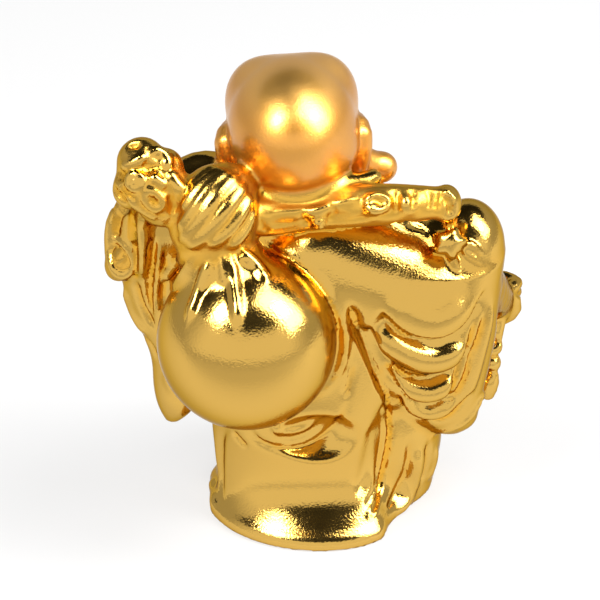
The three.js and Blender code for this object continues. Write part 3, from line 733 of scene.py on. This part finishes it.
def hand(palm, along_it, curl, side):
    along_it, curl = np.asarray(along_it, float), np.asarray(curl, float)
    along_it, curl = along_it / np.linalg.norm(along_it), curl / np.linalg.norm(curl)
    out = np.cross(along_it, curl) * side
    wax.lay(Ball(palm, FINGER * PALM), soft=0.8)
    for i in range(4):
        base = palm + along_it * (i - 1.5) * FINGER * FINGER_GAP
        wax.lay(Cord([base + out * FINGER * KNUCKLE,
                      base + FINGER * (out * MIDDLE_JOINT[0] + curl * MIDDLE_JOINT[1]),
                      base + FINGER * (out * FINGERTIP[0] + curl * FINGERTIP[1])], FINGER), soft=0.4)


hand(RIGHT_HAND, along_it=(0, 0.35, 0.94), curl=(0, -1, 0), side=-1)
hand(LEFT_HAND, along_it=(0.85, 0, 0.5), curl=(-0.3, 0.3, 0.9), side=1)
wax.lay(Cord(THUMB, THUMB_RADII), soft=0.4)
wax.lay(Cord([STRING_TOP, BEADS], STRING_RADIUS), soft=0.4)
wax.lay(Ball(BEADS, BEAD), soft=0.3)
wax.lay(Ball(BEADS + STRING * BEAD_GAP * BEAD, BEAD), soft=0.3)
wax.lay(Cord([BEADS + STRING * share * BEAD for share in TASSEL], TASSEL_RADII), soft=0.3)

# The front: bare chest and belly between the robe's edges, a sash knotted at the waist, and two cloth
# shoes. It is moulded with the rest, and plainer than the back.
BELLY, BELLY_RADII = np.array([-1.5, -11, 33]), (18, 14.6, 16)
SASH = [(-21, -10, 21.5), (-13, -20.5, 19), (-1.5, -23.4, 17.4), (10, -20.5, 19), (18.5, -10, 21.5)]
SASH_RADII = [2.2, 2.6, 2.6, 2.6, 2.2]
SASH_KNOT, SASH_KNOT_RADII = (-1.5, -24.6, 17.6), (3, 2.2, 2.4)
SHOES, SHOE_Y, SHOE_Z, SHOE_RADII = (-10, 6), -22, 1.4, (4.8, 8.4, 4.4)
SEAM, SEAM_Z = [(-4.8, -21), (-3.6, -27.4), (0, -30), (3.6, -27.4), (4.8, -21)], 1.5
NAVEL, NAVEL_RADII = (-1.5, -26, 30), (1.5, 1.5, 1.7)
BREASTBONE = [(2, -13, 59), (2, -13.6, 54), (1.6, -13.4, 49)]

# What comes in pairs has four numbers to a place: the x of its middle, how far out it is, y and z.
BREAST, BREAST_RADII = (2, 6.6, -7, 53), (7.6, 6, 6)
UNDER_BREAST = [(2, 2, -13.5, 48), (2, 7, -14, 47), (2, 12, -12, 49)]
LAPEL = [(3, 6, -3.5, 67), (2, 12.5, -9.6, 58), (-1, 19, -13, 46), (-1.5, 20.4, -15, 34),
         (-1.5, 15, -21, 21)]
LAPEL_RADII = [2, 2.6, 3, 2.8, 2]
SASH_END = [(-1.5, 0, -23.4, 16.5), (-1.5, 3, -21.6, 11), (-1.5, 2.8, -21.2, 5)]
SASH_END_RADII = [1.4, 2, 1.8]
SKIRT_MIDDLE, SKIRT_HIGH, SKIRT_HALFWAY, SKIRT_LOW = -1.5, 19, 11, 3.4
SKIRT_FOLDS = [((14, -18), (15.5, -19.4), 1.3), ((18, -13), (20.4, -14.6), 1.5),
               ((10, -20.4), (10, -21.4), 1.0)]


def paired(path, side):
    return [(middle + side * out, y, z) for middle, out, y, z in path]


wax.lay(Ball(BELLY, BELLY_RADII), soft=1.5)
for side in (-1, 1):
    wax.lay(Ball(*paired([BREAST], side), BREAST_RADII), soft=2)
    wax.lay(Cord(paired(LAPEL, side), LAPEL_RADII), soft=0.6)
    wax.lay(Cord(paired(SASH_END, side), SASH_END_RADII), soft=0.5)
wax.lay(Cord(SASH, SASH_RADII), soft=0.5)
wax.lay(Ball(SASH_KNOT, SASH_KNOT_RADII), soft=0.5)
for middle in SHOES:
    wax.lay(Ball((middle, SHOE_Y, SHOE_Z), SHOE_RADII), soft=0.6)
    wax.crease([(middle + x, y, SEAM_Z) for x, y in SEAM], width=0.8, deep=0.6)
wax.cut(Ball(NAVEL, NAVEL_RADII), soft=0.8)
wax.crease(BREASTBONE, width=2.4, deep=0.9, sharp=0.2)
for side in (-1, 1):
    wax.crease(paired(UNDER_BREAST, side), width=1.6, deep=0.9, sharp=0.4)
    for (top_x, top_y), (low_x, low_y), deep in SKIRT_FOLDS:
        run = [(SKIRT_MIDDLE, top_x, top_y, SKIRT_HIGH),
               (SKIRT_MIDDLE, (top_x + low_x) / 2, (top_y + low_y) / 2, SKIRT_HALFWAY),
               (SKIRT_MIDDLE, low_x, low_y, SKIRT_LOW)]
        wax.crease(paired(run, side), width=2.2, deep=deep, sharp=0.4)

# The face is calm, with lowered lids, a broad nose and a slight smile. Its strokes are in millimetres in
# the head's own frame, and those of FACE_SIDE, which end with the hollow of the ear, are worked twice.
NOSTRIL, NOSTRIL_RADII = (1.7, -17.6, -8.4), (1.1, 1.1, 0.9)
FACE_SIDE = [
    (wax.fold, [(2.6, -17, -2), (5, -16.4, -1.5), (7.6, -14.6, -2.2)], 1.5, 0.6),
    (wax.crease, [(2.4, -17, -3.1), (5, -16.4, -3.9), (7.8, -14.4, -3.1)], 0.7, 0.7),
    (wax.fold, [(1.8, -17, 0.6), (5, -16, 2.1), (8.8, -13, 0.9)], 1.2, 0.5),
    (wax.crease, [(2.6, -17, -8), (4.9, -15.6, -9.6), (5.8, -14.4, -11.8)], 1.3, 0.4, 0.3),
    (wax.crease, [(13.2, -1, -3.6), (13.8, 0.4, -6), (13, -0.6, -9)], 1.3, 0.9, 0.3),
]
MOUTH = [
    (wax.crease, [(-4.4, -15.4, -10.3), (-2.2, -16.8, -11.4), (0, -17.2, -11.7), (2.2, -16.8, -11.4),
                  (4.4, -15.4, -10.3)], 0.7, 0.8),
    (wax.fold, [(-2.6, -16.4, -12.6), (0, -17, -13), (2.6, -16.4, -12.6)], 1.1, 0.6),
    (wax.fold, [(-3, -16.4, -10.4), (0, -17, -10.5), (3, -16.4, -10.4)], 0.9, 0.4),
]


def carve(strokes, side):
    for way, path, *how in strokes:
        way([on_head(side * x, y, z) for x, y, z in path], *how)


for side in (-1, 1):
    wax.lay(Ball(on_head(side * NOSTRIL[0], *NOSTRIL[1:]), NOSTRIL_RADII, lean), soft=0.6)
    carve(FACE_SIDE, side)
carve(MOUTH, 1)

# Folds on the outer sides of the sleeves and on the front of the robe: long creases on the left, and on
# the right the swags of the back run on round the arm.
SLEEVE_CREASES = [
    ([(37, -5, 58), (35, -6, 46), (31, -5, 34), (28, -3, 24)], 2.4, 1.4),
    ([(33, -9, 58), (32, -10, 46), (30, -9, 36), (27.5, -6, 25)], 2.4, 1.4),
    ([(38, 0, 60), (36, -1, 48), (32, -1, 36), (29, 0, 25)], 2.0, 1.2),
    ([(-35, 5, 42), (-36, -1, 38), (-34, -7, 37)], (1.0, 2.6), 1.8),
    ([(-33, 5, 34), (-34, -1, 31), (-32, -7, 31)], (1.0, 2.4), 1.6),
    ([(-31, 4, 27), (-31, -2, 25), (-29, -6, 25)], (0.9, 2.2), 1.3),
    ([(-22, -8, 58), (-25, -10, 50), (-25, -11, 42), (-23, -10, 32)], 2.6, 1.6),
    ([(22, -7, 60), (21, -11, 50), (21.5, -12, 38), (20, -13, 28)], 2.4, 1.5),
]
for path, width, deep in SLEEVE_CREASES:
    wax.crease(path, width, deep, sharp=0.4)

# The skin of the casting, moulded in one piece of resin. The solid's own mesh is remeshed finely and
# settled on the wax, roughly at first, and again once the strokes are drawn on it.
ROUGH_GRAIN, FINE_GRAIN = 1.0, 0.56
EASE, LEVEL, LEAST_STEEP = 0.5, 0.8, 0.3
HOLLOW_REACH = 1.6
SATIN_EDGE, BRUSHED_EDGE = (0.25, 0.9), (0, 1.6)


def remeshed(mesh, grain):
    shell = bpy.data.objects.new("shell", mesh)
    bpy.context.scene.collection.objects.link(shell)
    shape = shell.modifiers.new("shape", "REMESH")
    shape.mode = "VOXEL"
    shape.voxel_size = grain * MM
    made = bpy.data.meshes.new_from_object(shell.evaluated_get(bpy.context.evaluated_depsgraph_get()))
    bpy.data.objects.remove(shell)
    return made


def settled(mesh, rounds, stride):
    """The mesh with its points moved onto the wax and kept evenly spaced along it, and its slope there."""
    flat = np.empty(len(mesh.vertices) * 3, np.float32)
    mesh.vertices.foreach_get("co", flat)
    points = flat.reshape(-1, 3).astype(float) / MM + CASTING_CENTRE
    ends = np.empty(len(mesh.edges) * 2, np.int32)
    mesh.edges.foreach_get("vertices", ends)
    first, second = ends.reshape(-1, 2).T
    count = np.bincount(ends, minlength=len(points))[:, None]
    reached = wax.sense(points)
    for i in range(rounds):
        depth, slope = wax.slope(points, reached)
        steep = np.maximum((slope ** 2).sum(1), LEAST_STEEP)
        move = np.clip(depth / steep, -stride, stride)
        points -= move[:, None] * slope
        if i < rounds - 1:
            normal = slope / np.sqrt(steep)[:, None]
            middle = np.zeros_like(points)
            for axis in range(3):
                middle[:, axis] = (np.bincount(first, points[second, axis], len(points))
                                   + np.bincount(second, points[first, axis], len(points)))
            drift = middle / count - points
            drift -= (drift * normal).sum(1)[:, None] * normal * LEVEL
            points += EASE * drift
    mesh.vertices.foreach_set("co", ((points - CASTING_CENTRE) * MM).astype(np.float32).ravel())
    mesh.update()
    return mesh, points, slope


solid = bmesh.new()
solid.from_mesh(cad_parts["figure"].data)
bmesh.ops.remove_doubles(solid, verts=solid.verts, dist=1e-6)
skin = bpy.data.meshes.new("skin")
solid.to_mesh(skin)
solid.free()
skin, *_ = settled(remeshed(skin, ROUGH_GRAIN), rounds=3, stride=0.8)
skin, *_ = settled(remeshed(skin, ROUGH_GRAIN), rounds=3, stride=0.6)
wax.draw_on(BVHTree.FromPolygons([v.co for v in skin.vertices], [p.vertices for p in skin.polygons]))
skin, *_ = settled(remeshed(skin, FINE_GRAIN), rounds=6, stride=0.4)
skin, points, slope = settled(remeshed(skin, FINE_GRAIN), rounds=6, stride=0.3)
skin.polygons.foreach_set("use_smooth", np.ones(len(skin.polygons), bool))

normals = slope / (np.linalg.norm(slope, axis=1)[:, None] + 1e-9)
# The 'hollow' mask marks where painted shade goes: points sunk in a hollow of the wax, whose gold is later
# tinted a deeper orange for the shade and the gold reflected there.
over_wax = wax.depth(points + normals * HOLLOW_REACH, wax.sense(points))
hollow_shade = np.clip(1 - over_wax / HOLLOW_REACH, 0, 1)
on_satin = 1 - smooth(*SATIN_EDGE, head_wax.depth(points, head_wax.sense(points)))
on_brushed = 1 - smooth(*BRUSHED_EDGE, brushed_wax.depth(points, brushed_wax.sense(points)))
for name, values in (("hollow", hollow_shade), ("satin", on_satin), ("brushed", on_brushed)):
    skin.attributes.new(name, "FLOAT", "POINT").data.foreach_set("value", values.astype(np.float32))

# The plating: bright gold, with painted shade that tints the hollows a deeper orange, softer on the staff
# and its tie, and satin on the head, with a painted highlight that makes the top of the head paler. Its
# fine grain comes through from the cast resin under it.
# The second colour here is painted shade: the deeper orange that the hollows are tinted with.
GOLD, HOLLOW_SHADE_GOLD = (0.66, 0.405, 0.09, 1), (0.76, 0.37, 0.025, 1)
BRUSHED_GOLD = (0.80, 0.44, 0.06, 1)
# The second satin colour is a painted highlight, paler, laid on the top of the head between the two heights
# below.
SATIN_GOLD, CROWN_HIGHLIGHT_GOLD = (0.80, 0.37, 0.06, 1), (1.0, 0.55, 0.13, 1)
CROWN_HIGHLIGHT_FROM, CROWN_HIGHLIGHT_TO = 0.083, 0.089
EDGE_TINT = (0.6, 0.5, 0.35, 1)
HOLLOW_SHADE_SHARE, BRUSHED_SHARE = 0.8, 0.7
GRAIN_SCALE, GRAIN_STRENGTH, GRAIN_DEPTH, CLOUD_SCALE = 2600.0, 0.35, 0.0001, 260.0
SATIN_COAT, SATIN_COAT_ROUGHNESS = 0.7, 0.2
BRIGHT_ROUGHNESS, CLOUD_ROUGHNESS, SATIN_ROUGHNESS, BRUSHED_ROUGHNESS = 0.1, 0.07, 0.24, 0.2


class Wire:
    """A value among the nodes: arithmetic on it adds Math nodes."""
    def __init__(self, paint, socket):
        self.paint, self.socket = paint, socket

    def math(self, operation, first, second):
        return self.paint.node("ShaderNodeMath", {0: first, 1: second}, operation=operation)

    def __add__(self, other):
        return self.math("ADD", self, other)

    def __mul__(self, other):
        return self.math("MULTIPLY", self, other)

    __radd__, __rmul__ = __add__, __mul__


class Paint:
    """The nodes of a material, or of the room's light, added one by one round its shader."""
    def __init__(self, holder, shader="Principled BSDF"):
        holder.use_nodes = True
        self.tree = holder.node_tree
        self.shader = self.tree.nodes[shader]

    def node(self, kind, inputs=(), out=0, **settings):
        node = self.tree.nodes.new(kind)
        for name, value in settings.items():
            setattr(node, name, value)
        for name, value in dict(inputs).items():
            self.feed(node.inputs[name], value)
        return Wire(self, node.outputs[out])

    def feed(self, socket, value):
        if isinstance(value, Wire):
            self.tree.links.new(value.socket, socket)
        else:
            socket.default_value = value

    def set(self, **values):
        for name, value in values.items():
            self.feed(self.shader.inputs[name.replace("_", " ")], value)

    def mix(self, share, first, second):
        return self.node("ShaderNodeMix", {0: share, 6: first, 7: second}, 2, data_type="RGBA")

    def mask(self, name):
        return self.node("ShaderNodeAttribute", out="Fac", attribute_name=name)

    def ramp(self, value, low, high, at_low=0.0, at_high=1.0, kind="SMOOTHSTEP"):
        return self.node("ShaderNodeMapRange", {0: value, 1: low, 2: high, 3: at_low, 4: at_high},
                         interpolation_type=kind)


gold_plate = bpy.data.materials.new("gold_plate")
gold = Paint(gold_plate)
place = gold.node("ShaderNodeTexCoord", out="Object")
satin_mask, brushed_mask, hollow_shade_mask = gold.mask("satin"), gold.mask("brushed"), gold.mask("hollow")
# Painted highlight: the top of the head is lightened by height toward a paler gold.
crown_highlight = gold.ramp(gold.node("ShaderNodeSeparateXYZ", {0: place}, 2), CROWN_HIGHLIGHT_FROM, CROWN_HIGHLIGHT_TO)
plate = gold.mix(brushed_mask * BRUSHED_SHARE, GOLD, BRUSHED_GOLD)
# Painted shade: the hollows are mixed toward a deeper, darker orange gold.
plate = gold.mix(hollow_shade_mask * HOLLOW_SHADE_SHARE, plate, HOLLOW_SHADE_GOLD)
satin = gold.mix(crown_highlight, SATIN_GOLD, CROWN_HIGHLIGHT_GOLD)
grain = gold.node("ShaderNodeTexNoise", {"Vector": place, "Scale": GRAIN_SCALE, "Detail": 1.0})
cloud = gold.node("ShaderNodeTexNoise", {"Vector": place, "Scale": CLOUD_SCALE, "Detail": 2.0})
bump = gold.node("ShaderNodeBump", {"Height": grain, "Strength": GRAIN_STRENGTH, "Distance": GRAIN_DEPTH})
gold.set(
    Base_Color=gold.mix(satin_mask, plate, satin),
    Metallic=1.0,
    Specular_Tint=EDGE_TINT,
    Coat_Weight=satin_mask * SATIN_COAT,
    Coat_Roughness=SATIN_COAT_ROUGHNESS,
    Roughness=(BRIGHT_ROUGHNESS + cloud * CLOUD_ROUGHNESS + satin_mask * SATIN_ROUGHNESS
               + brushed_mask * BRUSHED_ROUGHNESS),
    Normal=bump,
)
skin.materials.append(gold_plate)
figure = bpy.data.objects.new("figure_cast", skin)
bpy.context.scene.collection.objects.link(figure)
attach(figure, "root")
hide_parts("figure")

# The table: a plain pale top under the figure, that glows a little so that it comes out white, and less
# so behind the figure, where the bright plating would mirror it too strongly.
TABLE_HALF = 2.0
TABLE_GREY, NEAR_GLOW, FAR_GLOW = (0.2, 0.2, 0.2, 1), (1, 1, 1, 1), (0.5, 0.5, 0.5, 1)
GLOW, FADE_FROM, FADE_TO = 0.66, 0.04, 0.14
top = bmesh.new()
bmesh.ops.create_grid(top, x_segments=1, y_segments=1, size=TABLE_HALF)
table = bpy.data.objects.new("table", bpy.data.meshes.new("table"))
top.to_mesh(table.data)
top.free()
bpy.context.scene.collection.objects.link(table)
pale_table = bpy.data.materials.new("pale_table")
pale = Paint(pale_table)
back = pale.node("ShaderNodeSeparateXYZ", {0: pale.node("ShaderNodeTexCoord", out="Object")}, 1)
pale.set(Base_Color=TABLE_GREY, Roughness=0.8, Emission_Strength=GLOW,
         Emission_Color=pale.mix(pale.ramp(back, FADE_FROM, FADE_TO), NEAR_GLOW, FAR_GLOW))
table.data.materials.append(pale_table)

# The studio round it: a white room under a dark ceiling, half as bright before the figure as behind it,
# and two large soft lamps, each with a small bright core in front of it.
WALL_LIGHT, CEILING_LIGHT, WALL_TOP, CEILING_EDGE = 1.1, 0.03, 0.575, 0.615
FRONT_SHARE, BACK_SHARE, BACK_FROM = 0.5, 1.0, 0.5
LAMP_AIM, LAMP_DISTANCE, CORE_DISTANCE = Vector((0, 0, 0.045)), 0.7, 0.68
room_world = bpy.data.worlds.new("room")
bpy.context.scene.world = room_world
room = Paint(room_world, "Background")
toward = room.node("ShaderNodeTexCoord", out="Generated")
up = room.node("ShaderNodeSeparateXYZ", {0: toward}, 2)
behind = room.node("ShaderNodeSeparateXYZ", {0: toward}, 1)
walls = room.ramp(up, WALL_TOP, CEILING_EDGE, WALL_LIGHT, CEILING_LIGHT, "LINEAR")
share = room.ramp(behind, 0.0, BACK_FROM, FRONT_SHARE, BACK_SHARE, "LINEAR")
room.set(Color=walls * share)


def lamp(name, toward, distance, size, radiance):
    """A soft lamp that faces the figure from the direction toward."""
    light = bpy.data.lights.new(name, "AREA")
    light.shape, light.size, light.size_y = "RECTANGLE", *size
    light.energy = radiance * math.pi * size[0] * size[1]
    holder = bpy.data.objects.new(name, light)
    toward = Vector(toward).normalized()
    turn = toward.to_track_quat("Z", "Y").to_matrix().to_4x4()
    holder.matrix_world = Matrix.Translation(toward * distance + LAMP_AIM) @ turn
    bpy.context.scene.collection.objects.link(holder)


lamp("lamp_right", (-0.64, 0.13, 0.76), LAMP_DISTANCE, size=(0.40, 0.74), radiance=8.4)
lamp("lamp_left", (0.46, 0.36, 0.81), LAMP_DISTANCE, size=(0.26, 0.42), radiance=8.4)
lamp("core_right", (-0.64, 0.18, 0.75), CORE_DISTANCE, size=(0.14, 0.19), radiance=15.5)
lamp("core_left", (0.50, 0.34, 0.80), CORE_DISTANCE, size=(0.15, 0.19), radiance=16.5)
